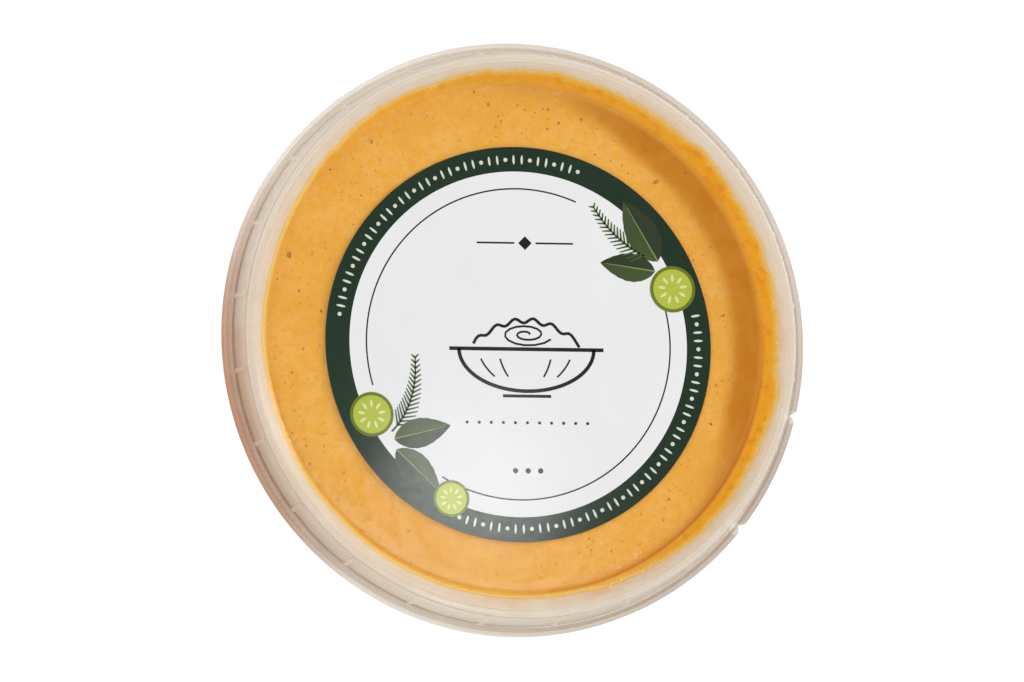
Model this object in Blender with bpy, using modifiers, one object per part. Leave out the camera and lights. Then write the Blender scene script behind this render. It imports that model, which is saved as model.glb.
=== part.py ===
"""A shut, round plastic tub of spicy yoghurt dip: tub, snap lid, the dip inside and a round label.

Metres, +Z up, with the origin under the middle of the base. Angles run anticlockwise from +X,
seen from above. The tub is turned from one profile, with a collar that guards the lid's skirt.
"""

import math

import bmesh
import bpy
from mathutils import Matrix, Vector

NAME = "dip_tub"
TURN_STEPS = 96
DIP_STEPS = 192
GAP = 0.0003

# The whole tub
HEIGHT = 0.0360
COLLAR_RADIUS = 0.0600

# The lid: a recessed panel, a slanting wall up to the rim, and a skirt outside it
LID_THICK = 0.0005
PANEL_RADIUS = 0.0516
RECESS_DEPTH = 0.0049
RIM_INNER_RADIUS = 0.0557
RIM_OUTER_RADIUS = 0.0570
SKIRT_RADIUS = 0.05815
SKIRT_DROP = 0.0051
SKIRT_TAIL = 0.0019
RIM_ROUNDING = 0.00025
RIM_INNER_ROUNDING = 0.00022
PANEL_Z = HEIGHT - RECESS_DEPTH

# The tub's wall, and the rounded lip that the lid grips
WALL_THICK = 0.0008
FLOOR_THICK = 0.0009
LIP_INNER_RADIUS = 0.0556
LIP_DEPTH_UNDER_RIM = 0.0008
LIP_ROUNDING = 0.0005
LIP_CROWN_WIDTH = 0.00024
LIP_CROWN_SHIFT = 0.0001
FOOT_INNER_RADIUS = 0.0502
FOOT_CORNER = 0.0026
FOOT_ARC_STEPS = 3
GROOVE_RADIUS = 0.0440
GROOVE_WIDTH = 0.0014
GROOVE_DEPTH = 0.0004

# The collar round the lid's skirt, with a narrow lip at its top edge
COLLAR_HEIGHT = 0.0035
COLLAR_THICK = 0.0008
COLLAR_LIP_WIDTH = 0.0015
COLLAR_CHAMFER = 0.0002
COLLAR_TOP_Z = HEIGHT - SKIRT_DROP

# Small ribs down the skirt, evenly spaced
RIB_COUNT = 24
RIB_FIRST_ANGLE = math.radians(7.1)
RIB_WIDTH = 0.0010
RIB_PROUD = 0.0003

# The tear tab is the stretch of collar between two V-shaped notches
NOTCH_ANGLES = (math.radians(-14.5), math.radians(-39.1))
NOTCH_DEPTH = 0.0010
NOTCH_CUTTER_SIDE = 0.0030
NOTCH_CUTTER_SPARE = 0.0010

# The dip fills the tub to the panel, and was pressed up the recess wall most on one side
EDGE_LOW_RADIUS = 0.0519
EDGE_HIGH_RADIUS = 0.0538
FULL_SIDE_ANGLE = math.radians(37)
EDGE_LEAN_START = -0.6
EDGE_LEAN_RANGE = 0.9
EDGE_WAVES = ((7, 0.00012), (13, 0.00014), (19, 0.00012), (31, 0.00008), (43, 0.00006))
WAVE_PHASE_STEP = 2.3
LOW_SIDE_WAVES = 0.35
SLOPE_MIDDLE = 0.55
SHOULDER_SHARE = 0.3
SHOULDER_BULGE = 0.00024
SHOULDER_DROP = 0.0012

# The label, stuck a little off the panel's middle
LABEL_RADIUS = 0.0400
LABEL_THICK = 0.0002
LABEL_GAP = 0.0001
LABEL_OFFSET = (0.0005, -0.0011)

# Edges that turn less than this are shaded smooth
SMOOTH_BELOW = math.radians(35)

# Colours as seen, 0 to 255
TUB_COLOUR = (222, 207, 192)
LID_COLOUR = (232, 226, 220)
DIP_COLOUR = (234, 168, 78)
LABEL_COLOUR = (236, 236, 234)

# The turned pieces are rotated so that each rib stands on the middle of a flat facet
FACET = math.tau / TURN_STEPS
PHASE = RIB_FIRST_ANGLE - FACET / 2


def clear_scene():
    for obj in list(bpy.data.objects):
        bpy.data.objects.remove(obj, do_unlink=True)


def collection_named(name):
    made = bpy.data.collections.new(name)
    bpy.context.scene.collection.children.link(made)
    return made


def linear(colour):
    """An 8-bit screen colour as linear light."""
    return tuple(((c / 255 + 0.055) / 1.055) ** 2.4 for c in colour)


def plain_material(name, colour, roughness, alpha=1.0):
    material = bpy.data.materials.new(name)
    material.use_nodes = True
    shader = material.node_tree.nodes["Principled BSDF"]
    shader.inputs["Base Color"].default_value = (*linear(colour), 1.0)
    shader.inputs["Roughness"].default_value = roughness
    shader.inputs["Metallic"].default_value = 0.0
    shader.inputs["Alpha"].default_value = alpha
    return material


def shaded(obj, material):
    obj.data.materials.clear()
    obj.data.materials.append(material)
    obj.data.shade_smooth()
    obj.data.set_sharp_from_angle(angle=SMOOTH_BELOW)


def object_from_bmesh(name, shape, collection):
    mesh = bpy.data.meshes.new(name)
    shape.to_mesh(mesh)
    shape.free()
    obj = bpy.data.objects.new(name, mesh)
    collection.objects.link(obj)
    return obj


def turned(name, profile, collection):
    """A profile of (radius, height) points from the upper axis point to the lower, turned about Z."""
    shape = bmesh.new()
    points = [shape.verts.new((radius, 0, height)) for radius, height in profile]
    for start, end in zip(points, points[1:]):
        shape.edges.new((start, end))
    obj = object_from_bmesh(name, shape, collection)
    screw = obj.modifiers.new("Turn", "SCREW")
    screw.axis = "Z"
    screw.steps = TURN_STEPS
    screw.render_steps = TURN_STEPS
    screw.use_merge_vertices = True
    screw.merge_threshold = 0.00001
    obj.rotation_euler.z = PHASE
    return obj


def settle(obj):
    """Gives the object the mesh that its modifiers make."""
    bpy.context.view_layer.update()
    graph = bpy.context.evaluated_depsgraph_get()
    mesh = bpy.data.meshes.new_from_object(obj.evaluated_get(graph))
    obj.modifiers.clear()
    obj.data = mesh


def arc(centre, radius, start_deg, end_deg, steps):
    """Points of an arc in the profile plane. Degrees run from outward towards up."""
    turns = [math.radians(start_deg + (end_deg - start_deg) * i / steps) for i in range(steps + 1)]
    return [(centre[0] + radius * math.cos(t), centre[1] + radius * math.sin(t)) for t in turns]


def recess_point(radius, depth=0.0):
    """A point on the recess wall's upper face at this radius, moved into the wall by depth."""
    run = RIM_INNER_RADIUS - PANEL_RADIUS
    length = math.hypot(run, RECESS_DEPTH)
    height = PANEL_Z + (radius - PANEL_RADIUS) * RECESS_DEPTH / run
    return radius + depth * RECESS_DEPTH / length, height - depth * run / length


def panel_corner(depth):
    """Where the recess wall's face meets the panel's, both moved into the plastic by depth."""
    run = RIM_INNER_RADIUS - PANEL_RADIUS
    radius, height = recess_point(PANEL_RADIUS, depth)
    target = PANEL_Z - depth
    return radius + (target - height) * run / RECESS_DEPTH, target


def skirt_slope():
    return (SKIRT_RADIUS - RIM_OUTER_RADIUS) / SKIRT_DROP


def lid_profile():
    skirt_end_z = COLLAR_TOP_Z - SKIRT_TAIL
    inner_top = HEIGHT - LID_THICK
    inner_rim = recess_point(RIM_INNER_RADIUS, LID_THICK)[0] - RIM_INNER_ROUNDING
    return [
        (0, PANEL_Z),
        panel_corner(0),
        (RIM_INNER_RADIUS - RIM_ROUNDING, HEIGHT - RIM_ROUNDING),
        (RIM_INNER_RADIUS + RIM_ROUNDING, HEIGHT),
        (RIM_OUTER_RADIUS - RIM_ROUNDING, HEIGHT),
        (RIM_OUTER_RADIUS, HEIGHT - RIM_ROUNDING),
        (SKIRT_RADIUS, COLLAR_TOP_Z),
        (SKIRT_RADIUS, skirt_end_z),
        (SKIRT_RADIUS - LID_THICK, skirt_end_z),
        (SKIRT_RADIUS - LID_THICK, COLLAR_TOP_Z),
        (RIM_OUTER_RADIUS - LID_THICK + skirt_slope() * LID_THICK, inner_top),
        (inner_rim, inner_top),
        panel_corner(LID_THICK),
        (0, PANEL_Z - LID_THICK),
    ]


def wall_slope():
    lip_z = HEIGHT - LID_THICK - LIP_DEPTH_UNDER_RIM
    return (LIP_INNER_RADIUS - FOOT_INNER_RADIUS) / (lip_z - FLOOR_THICK)


def tub_inner_radius(height):
    return FOOT_INNER_RADIUS + (height - FLOOR_THICK) * wall_slope()


def foot_arc(wall_offset, floor_z, rounding):
    """The rounded corner between the floor and the wall, from the floor up to the wall."""
    wall = tub_inner_radius(floor_z + rounding) + wall_offset
    centre = (wall - rounding, floor_z + rounding)
    return arc(centre, rounding, -90, 0, FOOT_ARC_STEPS)


def groove_points():
    """The stiffening groove under the base, from its outer edge inwards."""
    half = GROOVE_WIDTH / 2
    return [
        (GROOVE_RADIUS + half, 0),
        (GROOVE_RADIUS + half - GROOVE_DEPTH, GROOVE_DEPTH),
        (GROOVE_RADIUS - half + GROOVE_DEPTH, GROOVE_DEPTH),
        (GROOVE_RADIUS - half, 0),
    ]


def tub_profile():
    lip_z = HEIGHT - LID_THICK - LIP_DEPTH_UNDER_RIM
    web_z = COLLAR_TOP_Z - COLLAR_HEIGHT
    web_top = web_z + COLLAR_THICK
    lip_under = COLLAR_TOP_Z - COLLAR_THICK
    collar_inner = COLLAR_RADIUS - COLLAR_THICK
    crown = LIP_INNER_RADIUS + WALL_THICK / 2 + LIP_CROWN_SHIFT
    return [
        (0, FLOOR_THICK),
        *foot_arc(0, FLOOR_THICK, FOOT_CORNER - FLOOR_THICK),
        (LIP_INNER_RADIUS, lip_z),
        (crown - LIP_CROWN_WIDTH / 2, lip_z + LIP_ROUNDING),
        (crown + LIP_CROWN_WIDTH / 2, lip_z + LIP_ROUNDING),
        (LIP_INNER_RADIUS + WALL_THICK, lip_z),
        (tub_inner_radius(web_top) + WALL_THICK, web_top),
        (collar_inner, web_top),
        (collar_inner, lip_under),
        (COLLAR_RADIUS - COLLAR_LIP_WIDTH, lip_under),
        (COLLAR_RADIUS - COLLAR_LIP_WIDTH, COLLAR_TOP_Z),
        (COLLAR_RADIUS - COLLAR_CHAMFER, COLLAR_TOP_Z),
        (COLLAR_RADIUS, COLLAR_TOP_Z - COLLAR_CHAMFER),
        (COLLAR_RADIUS, web_z),
        (tub_inner_radius(web_z) + WALL_THICK, web_z),
        *reversed(foot_arc(WALL_THICK, 0, FOOT_CORNER)),
        *groove_points(),
        (0, 0),
    ]


def add_ribs(lid, collection):
    """Fuses the small ribs to the outside of the lid's skirt, above the collar."""
    low = COLLAR_TOP_Z + GAP
    high = HEIGHT - 2 * RIM_ROUNDING
    middle_z = (low + high) / 2
    radius = (RIM_OUTER_RADIUS + (HEIGHT - middle_z) * skirt_slope()) * math.cos(FACET / 2)
    depth = RIB_PROUD + LID_THICK / 2
    tilt = math.atan(skirt_slope())
    ribs = bpy.data.collections.new("ribs")
    for index in range(RIB_COUNT):
        shape = bmesh.new()
        bmesh.ops.create_cube(shape, size=1)
        rib = object_from_bmesh(f"rib_{index + 1}", shape, ribs)
        size = Matrix.Diagonal((depth, RIB_WIDTH, (high - low) / math.cos(tilt), 1))
        place = Matrix.Translation((radius + RIB_PROUD - depth / 2, 0, middle_z))
        angle = RIB_FIRST_ANGLE + index * math.tau / RIB_COUNT
        lean = Matrix.Rotation(-tilt, 4, "Y")
        rib.data.transform(Matrix.Rotation(angle, 4, "Z") @ place @ lean @ size)
    join = lid.modifiers.new("Ribs", "BOOLEAN")
    join.operation = "UNION"
    join.operand_type = "COLLECTION"
    join.collection = ribs
    join.solver = "EXACT"
    collection.children.link(ribs)
    settle(lid)
    for rib in list(ribs.objects):
        bpy.data.objects.remove(rib, do_unlink=True)
    bpy.data.collections.remove(ribs)


def cut_notches(tub, cutters):
    """Cuts the two V-shaped notches that end the tear tab."""
    reach = NOTCH_CUTTER_SIDE / math.sqrt(2)
    for index, angle in enumerate(NOTCH_ANGLES):
        shape = bmesh.new()
        bmesh.ops.create_cube(shape, size=1)
        cutter = object_from_bmesh(f"notch_cutter_{index + 1}", shape, cutters)
        tall = COLLAR_HEIGHT + 2 * NOTCH_CUTTER_SPARE
        size = Matrix.Diagonal((NOTCH_CUTTER_SIDE, NOTCH_CUTTER_SIDE, tall, 1))
        place = Matrix.Translation(
            (COLLAR_RADIUS - NOTCH_DEPTH + reach, 0, COLLAR_TOP_Z - COLLAR_HEIGHT / 2)
        )
        corner_in = Matrix.Rotation(math.radians(45), 4, "Z")
        cutter.data.transform(Matrix.Rotation(angle, 4, "Z") @ place @ corner_in @ size)
        cutter.display_type = "WIRE"
        cutter.hide_render = True
        cut = tub.modifiers.new(f"Notch {index + 1}", "BOOLEAN")
        cut.operation = "DIFFERENCE"
        cut.object = cutter
        cut.solver = "EXACT"


def edge_radius(angle):
    """How far out the dip touches the recess wall: high on the full side, low opposite, with waves."""
    lean = math.cos(angle - FULL_SIDE_ANGLE)
    share = min(max((lean - EDGE_LEAN_START) / EDGE_LEAN_RANGE, 0), 1)
    share = share * share * (3 - 2 * share)
    waves = sum(
        size * math.sin(count * (angle + WAVE_PHASE_STEP)) for count, size in EDGE_WAVES
    )
    middle = EDGE_LOW_RADIUS + (EDGE_HIGH_RADIUS - EDGE_LOW_RADIUS) * share
    return middle + waves * (LOW_SIDE_WAVES + (1 - LOW_SIDE_WAVES) * share)


def dip_section(angle):
    """The dip's outline at one angle, from the middle of its top to the middle of its bottom."""
    corner = Vector(panel_corner(LID_THICK + GAP))
    crest = Vector(recess_point(edge_radius(angle), LID_THICK + GAP))
    wall_z = max(crest.y - SHOULDER_DROP, corner.y - SHOULDER_DROP / 2)
    wall = Vector((tub_inner_radius(wall_z) - GAP, wall_z))
    shoulder = crest.lerp(wall, SHOULDER_SHARE) + Vector((0, SHOULDER_BULGE))
    floor_z = FLOOR_THICK + GAP
    rounding = FOOT_CORNER - floor_z
    return [
        corner,
        corner.lerp(crest, SLOPE_MIDDLE),
        crest,
        shoulder,
        wall,
        *reversed(foot_arc(-GAP, floor_z, rounding)),
    ]


def lofted(name, section_at, steps, collection):
    """One closed body through the sections at each step round Z, with a flat top and bottom."""
    shape = bmesh.new()
    rings = []
    for step in range(steps):
        angle = PHASE + step * math.tau / steps
        direction = Vector((math.cos(angle), math.sin(angle), 0))
        section = section_at(angle)
        rings.append([shape.verts.new(direction * r + Vector((0, 0, z))) for r, z in section])
    for step, ring in enumerate(rings):
        after = rings[(step + 1) % steps]
        for i in range(len(ring) - 1):
            shape.faces.new((ring[i], ring[i + 1], after[i + 1], after[i]))
    shape.faces.new([ring[0] for ring in rings])
    shape.faces.new([ring[-1] for ring in reversed(rings)])
    return object_from_bmesh(name, shape, collection)


def make_tub(collection, cutters):
    tub = turned("tub", tub_profile(), collection)
    cut_notches(tub, cutters)
    settle(tub)
    shaded(tub, plain_material("tub_plastic", TUB_COLOUR, 0.35, 0.6))


def make_lid(collection):
    lid = turned("lid", lid_profile(), collection)
    add_ribs(lid, collection)
    shaded(lid, plain_material("lid_plastic", LID_COLOUR, 0.15, 0.35))


def make_dip(collection):
    dip = lofted("dip", dip_section, DIP_STEPS, collection)
    shaded(dip, plain_material("dip", DIP_COLOUR, 0.45))


def make_label(collection):
    bpy.ops.mesh.primitive_cylinder_add(
        vertices=TURN_STEPS, radius=LABEL_RADIUS, depth=LABEL_THICK
    )
    label = bpy.context.object
    label.name = "label"
    for other in list(label.users_collection):
        other.objects.unlink(label)
    collection.objects.link(label)
    label.location = (*LABEL_OFFSET, PANEL_Z + LABEL_GAP + LABEL_THICK / 2)
    shaded(label, plain_material("label_paper", LABEL_COLOUR, 0.4))


def main():
    clear_scene()
    collection = collection_named(NAME)
    cutters = collection_named(f"{NAME}_cutters")
    make_tub(collection, cutters)
    make_lid(collection)
    make_dip(collection)
    make_label(collection)


main()
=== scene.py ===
import math

import bmesh
import bpy
import numpy as np
from mathutils import Matrix, Vector


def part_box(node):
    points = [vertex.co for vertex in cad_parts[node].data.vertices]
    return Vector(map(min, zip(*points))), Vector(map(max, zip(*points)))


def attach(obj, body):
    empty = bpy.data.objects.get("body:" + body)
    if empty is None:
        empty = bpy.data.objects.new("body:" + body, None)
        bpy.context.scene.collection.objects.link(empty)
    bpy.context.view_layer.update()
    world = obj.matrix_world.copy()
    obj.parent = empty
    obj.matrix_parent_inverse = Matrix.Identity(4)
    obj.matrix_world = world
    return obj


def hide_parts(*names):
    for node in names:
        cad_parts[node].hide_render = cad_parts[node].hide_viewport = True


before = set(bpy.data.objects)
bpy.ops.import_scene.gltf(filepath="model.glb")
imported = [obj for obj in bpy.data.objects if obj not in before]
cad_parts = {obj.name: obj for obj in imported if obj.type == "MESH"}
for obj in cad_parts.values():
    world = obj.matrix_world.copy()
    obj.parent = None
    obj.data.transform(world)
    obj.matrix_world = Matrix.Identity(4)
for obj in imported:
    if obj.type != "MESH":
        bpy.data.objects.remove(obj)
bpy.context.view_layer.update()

# A shut round tub of spicy yoghurt dip seen from nearly straight above, in metres with +Z up.
# Angles run anticlockwise from +X, seen from above. The finer pieces keep the form of the solids.
SEED = 7
MM = 0.001

# Form values that repeat those of the solids
HEIGHT = 0.0360
LID_THICK = 0.0005
PANEL_RADIUS = 0.0516
RECESS_DEPTH = 0.0049
RIM_INNER_RADIUS = 0.0557
RIM_OUTER_RADIUS = 0.0570
SKIRT_RADIUS = 0.05815
SKIRT_DROP = 0.0051
SKIRT_TAIL = 0.0019
RIM_ROUNDING = 0.00025
PANEL_Z = HEIGHT - RECESS_DEPTH
WALL_THICK = 0.0008
FLOOR_THICK = 0.0009
LIP_INNER_RADIUS = 0.0556
LIP_DEPTH_UNDER_RIM = 0.0008
LIP_ROUNDING = 0.0005
FOOT_INNER_RADIUS = 0.0502
FOOT_CORNER = 0.0026
GROOVE_RADIUS = 0.0440
GROOVE_WIDTH = 0.0014
GROOVE_DEPTH = 0.0004
COLLAR_HEIGHT = 0.0035
COLLAR_THICK = 0.0008
COLLAR_LIP_WIDTH = 0.0015
COLLAR_CHAMFER = 0.0002
COLLAR_TOP_Z = HEIGHT - SKIRT_DROP
RIB_COUNT = 24
RIB_FIRST_ANGLE = math.radians(7.1)
RIB_WIDTH = 0.0010
RIB_PROUD = 0.0003
RIB_LOW_Z = COLLAR_TOP_Z + 0.0003
RIB_HIGH_Z = HEIGHT - 2 * RIM_ROUNDING
RIB_EDGE = 0.00010
NOTCH_ANGLES = (math.radians(-14.5), math.radians(-39.1))
NOTCH_DEPTH = 0.0010
NOTCH_CUTTER_SIDE = 0.0030
LABEL_RADIUS = 0.0400
LABEL_Z = PANEL_Z
LABEL_THICK = 0.0002
LABEL_CENTRE = (0.0005, -0.0011)

# How far the dip reaches up the lid's slanting wall
EDGE_LOW_RADIUS = 0.0519
EDGE_HIGH_RADIUS = 0.0538
FULL_SIDE_ANGLE = math.radians(37)
EDGE_LEAN_START = -0.6
EDGE_LEAN_RANGE = 0.9
EDGE_WAVES = ((7, 0.00012), (13, 0.00014), (19, 0.00012), (31, 0.00008), (43, 0.00006))
WAVE_PHASE_STEP = 2.3
LOW_SIDE_WAVES = 0.35
FINE_WAVES = ((11, 0.00007), (26, 0.00006), (47, 0.00006), (71, 0.00006), (97, 0.00005), (137, 0.00004))
SHOULDER_SHARE = 0.3
SHOULDER_BULGE = 0.00024
SHOULDER_DROP = 0.0012
REACH = 0.00010
CORNER_EASE = 0.0009
FRINGE_WIDTH = 0.0005
EDGE_CRUMBLE = 2.8
LOW_CRUMBLE = 0.9
CRUMBLE_REACH = 0.03

# Fineness of the pieces
TURN_STEPS = 480
DIP_STEPS = 1080
FINE_TOP_RADIUS = 0.0388
FINE_TOP_STEP = 0.0003

# The camera: tilted a little towards the near side, from the photo's outline
VIEW_SIDE = math.radians(205)
VIEW_TILT = math.radians(15.6)
VIEW_DISTANCE = 3.0
VIEW_WIDTH = 0.20615
VIEW_TARGET = (-0.00034, -0.00023, 0.0292)
SENSOR = 36.0

rng = np.random.default_rng(SEED)


# Plain geometry

def recess_point(radius, depth=0.0):
    """A point on the recess wall's upper face at this radius, moved into the wall by depth."""
    run = RIM_INNER_RADIUS - PANEL_RADIUS
    length = math.hypot(run, RECESS_DEPTH)
    height = PANEL_Z + (radius - PANEL_RADIUS) * RECESS_DEPTH / run
    return radius + depth * RECESS_DEPTH / length, height - depth * run / length


def panel_corner(depth):
    """Where the recess wall's face meets the panel's, both moved into the plastic by depth."""
    run = RIM_INNER_RADIUS - PANEL_RADIUS
    radius, height = recess_point(PANEL_RADIUS, depth)
    target = PANEL_Z - depth
    return radius + (target - height) * run / RECESS_DEPTH, target


def tub_inner_radius(height):
    lip_z = HEIGHT - LID_THICK - LIP_DEPTH_UNDER_RIM
    slope = (LIP_INNER_RADIUS - FOOT_INNER_RADIUS) / (lip_z - FLOOR_THICK)
    return FOOT_INNER_RADIUS + (height - FLOOR_THICK) * slope


def arc(centre, radius, start_deg, end_deg, steps):
    """Points of an arc in the profile plane. Degrees run from outward towards up."""
    turns = [math.radians(start_deg + (end_deg - start_deg) * i / steps) for i in range(steps + 1)]
    return [(centre[0] + radius * math.cos(t), centre[1] + radius * math.sin(t)) for t in turns]


def between(start, end, count):
    """The points strictly between two profile points, evenly spaced."""
    shares = [(i + 1) / (count + 1) for i in range(count)]
    return [(start[0] + (end[0] - start[0]) * s, start[1] + (end[1] - start[1]) * s) for s in shares]


def edge_radius(angle):
    """How far out the dip touches the recess wall: high on the full side, low opposite, with lobes."""
    lean = math.cos(angle - FULL_SIDE_ANGLE)
    share = min(max((lean - EDGE_LEAN_START) / EDGE_LEAN_RANGE, 0), 1)
    share = share * share * (3 - 2 * share)
    waves = sum(size * math.sin(count * (angle + WAVE_PHASE_STEP)) for count, size in EDGE_WAVES)
    waves += sum(size * math.sin(count * angle + count) for count, size in FINE_WAVES)
    middle = EDGE_LOW_RADIUS + (EDGE_HIGH_RADIUS - EDGE_LOW_RADIUS) * share
    return middle + waves * (LOW_SIDE_WAVES + (1 - LOW_SIDE_WAVES) * share)


# Meshes

def mesh_object(name, points, faces, materials, face_materials=None, sharp_deg=35):
    mesh = bpy.data.meshes.new(name)
    mesh.from_pydata(points, [], faces)
    for material in materials:
        mesh.materials.append(material)
    if face_materials is not None:
        mesh.polygons.foreach_set("material_index", face_materials)
    mesh.validate()
    mesh.shade_smooth()
    mesh.set_sharp_from_angle(angle=math.radians(sharp_deg))
    obj = bpy.data.objects.new(name, mesh)
    bpy.context.scene.collection.objects.link(obj)
    return obj


def set_attribute(obj, name, values):
    attribute = obj.data.attributes.new(name, "FLOAT", "POINT")
    attribute.data.foreach_set("value", np.asarray(values, np.float32))


def ring_mesh(sections, angles):
    """Points and faces of a closed body through sections of (radius, height), one at each angle.
    Each section starts and ends on the axis, where all of them share one point."""
    sections = np.asarray(sections, float)
    steps, count = sections.shape[:2]
    inner = sections[:, 1:-1]
    cos, sin = np.cos(angles)[:, None], np.sin(angles)[:, None]
    ring = np.stack([inner[..., 0] * cos, inner[..., 0] * sin, inner[..., 1]], -1).reshape(-1, 3)
    top, bottom = len(ring), len(ring) + 1
    points = np.vstack([ring, [(0, 0, sections[0, 0, 1])], [(0, 0, sections[0, -1, 1])]])
    width = count - 2
    faces = []
    for step in range(steps):
        here, there = step * width, ((step + 1) % steps) * width
        faces.append((top, here, there))
        faces.extend((here + i, here + i + 1, there + i + 1, there + i) for i in range(width - 1))
        faces.append((bottom, there + width - 1, here + width - 1))
    return points, faces


def piece(obj, slot_name, *nodes):
    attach(obj, "root")
    if nodes:
        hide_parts(*nodes)
    return obj


# Materials

def screen(colour):
    """An 8-bit screen colour as linear light, with full alpha."""
    return (*(((c / 255 + 0.055) / 1.055) ** 2.4 if c > 10 else c / 3295 for c in colour), 1.0)


class Nodes:
    """A short way to add nodes to one material."""

    def __init__(self, name):
        self.material = bpy.data.materials.new(name)
        self.material.use_nodes = True
        self.tree = self.material.node_tree
        self.tree.nodes.clear()
        self.out = self.tree.nodes.new("ShaderNodeOutputMaterial")
        self.place = self.add("TexCoord").outputs["Object"]

    def add(self, kind, **inputs):
        node = self.tree.nodes.new("ShaderNode" + kind)
        for key, value in inputs.items():
            self.put(node.inputs[key.replace("_", " ")], value)
        return node

    def put(self, socket, value):
        if isinstance(value, bpy.types.NodeSocket):
            self.tree.links.new(value, socket)
        else:
            socket.default_value = value

    def noise(self, scale, detail=3.0, roughness=0.55, distortion=0.0, place=None):
        node = self.add("TexNoise", Scale=scale, Detail=detail, Roughness=roughness, Distortion=distortion)
        self.put(node.inputs["Vector"], place or self.place)
        return node.outputs["Fac"]

    def stretched(self, scale, turn_deg=0.0):
        node = self.add("Mapping", Scale=scale, Rotation=(0, 0, math.radians(turn_deg)))
        self.put(node.inputs["Vector"], self.place)
        return node.outputs["Vector"]

    def ramp(self, value, low, high, from_=0.0, to=1.0):
        node = self.add("MapRange")
        node.interpolation_type = "SMOOTHSTEP"
        for key, given in (("Value", value), ("From Min", low), ("From Max", high),
                           ("To Min", from_), ("To Max", to)):
            self.put(node.inputs[key], given)
        return node.outputs["Result"]

    def math(self, operation, a, b=0.0):
        node = self.add("Math")
        node.operation = operation
        self.put(node.inputs[0], a)
        self.put(node.inputs[1], b)
        return node.outputs[0]

    def mix(self, share, a, b, blend="MIX"):
        node = self.add("Mix")
        node.data_type = "RGBA"
        node.blend_type = blend
        self.put(node.inputs["Factor"], share)
        self.put(node.inputs[6], a)
        self.put(node.inputs[7], b)
        return node.outputs[2]

    def spots(self, scale, low, high, keep=1.0):
        """Small round spots, one in the share keep of the cells of a jittered grid."""
        node = self.add("TexVoronoi", Scale=scale)
        self.put(node.inputs["Vector"], self.place)
        spot = self.ramp(node.outputs["Distance"], low, high, 1.0, 0.0)
        if keep >= 1:
            return spot
        split = self.add("SeparateColor")
        self.put(split.inputs[0], node.outputs["Color"])
        chosen = self.math("LESS_THAN", split.outputs[0], keep)
        return self.math("MULTIPLY", spot, chosen)

    def along(self, angle):
        """How far a point lies from the middle in the direction of this angle."""
        node = self.add("VectorMath")
        node.operation = "DOT_PRODUCT"
        self.put(node.inputs[0], self.place)
        self.put(node.inputs[1], (math.cos(angle), math.sin(angle), 0))
        return node.outputs["Value"]

    def attribute(self, name):
        node = self.add("Attribute")
        node.attribute_name = name
        return node.outputs["Fac"]

    def bump(self, height, distance, strength=1.0):
        node = self.add("Bump", Strength=strength, Distance=distance)
        self.put(node.inputs["Height"], height)
        return node.outputs["Normal"]

    def finish(self, shader):
        self.tree.links.new(shader, self.out.inputs["Surface"])
        return self.material


# The smear of dip on the lid, in local fringe widths past the edge of the dip
CLEAR_END = -0.5
MILKY_START = 1.3
SMEAR_FULL = 0.5
SMEAR = 0.8
STAIN_START = 0.3
STAIN_END = 1.7
WARM_END = 6.0
WARM_SHARE = 0.14
WARM_MORE = 0.24
WARM_MORE_SIDE = math.radians(316)
WARM_LESS = 0.12
WARM_LESS_SIDE = math.radians(215)
FAR_SMEAR_WIDTH = 0.00045
NEAR_SMEAR_WIDTH = 0.00085
MILK_TOUCHED = 0.03
THROUGH_SHARE = 0.32

DIP_PALE = screen((249, 193, 96))
DIP_DEEP = screen((239, 173, 55))
# Painted glow of light shining through the thin dip pressed on the recess wall
DIP_EDGE_GLOW = screen((255, 181, 10))
# Painted shadow of the lid's rim on the dip
DIP_SHADE = screen((216, 138, 0))
DIP_FRINGE = screen((255, 208, 92))
# Painted shade along the panel's corner
DIP_CORNER_SHADE = screen((202, 108, 0))
DIP_BLOTCH = screen((230, 144, 4))
DIP_WARM = screen((255, 205, 140))
DIP_STAIN = screen((255, 228, 144))
# Painted warm shade on the plastic, where light reaches it through the dip
WARM_SHADE_TINT = screen((228, 158, 104))
DIP_FLECK = screen((214, 128, 34))
DIP_YELLOW = screen((246, 182, 26))
# Where the painted shadow of the lid's rim lies on the dip, deepening the key lamp's own shadow
SHADE_ANGLE = math.radians(20)
SHADE_RADIUS = 0.0436
SHADE_END = 0.0502
SHADE_END_WIDTH = 0.0022
SHADE_TO_EDGE = 0.8
LOW_EDGE_COLOUR = 0.15
EDGE_PALE = 0.6
EDGE_PALE_SIDE = math.radians(128)
EDGE_BLOTCH = 0.62
WALL_TONE_START = 0.0512
WALL_TONE_WIDTH = 0.0016
# Painted shade along the panel's corner, with a wider tail of painted shadow just inside it, strongest on one side
CORNER_SHADE_RADIUS = 0.05155
CORNER_SHADE_WIDTH = 0.00046
CORNER_SHADE_SHARE = 0.95
CORNER_SHADE_SIDE = math.radians(315)
CORNER_SHADE_END = 0.60
CORNER_SHADE_FADE = 0.34
CORNER_SHADE_LEAST = 0.12
CORNER_SHADOW_TAIL = 0.65
CORNER_SHADOW_TAIL_WIDTH = 0.0026
FAR_FRINGE = 0.65


def crumble(n):
    """How far the edge of the dip strays, in fringe widths: a little on the low side, and more on the
    full side."""
    size = n.ramp(n.along(FULL_SIDE_ANGLE), -CRUMBLE_REACH, CRUMBLE_REACH, LOW_CRUMBLE, EDGE_CRUMBLE)
    return n.math("MULTIPLY", n.math("SUBTRACT", n.noise(600, 5, 0.7), 0.5), size)


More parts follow.
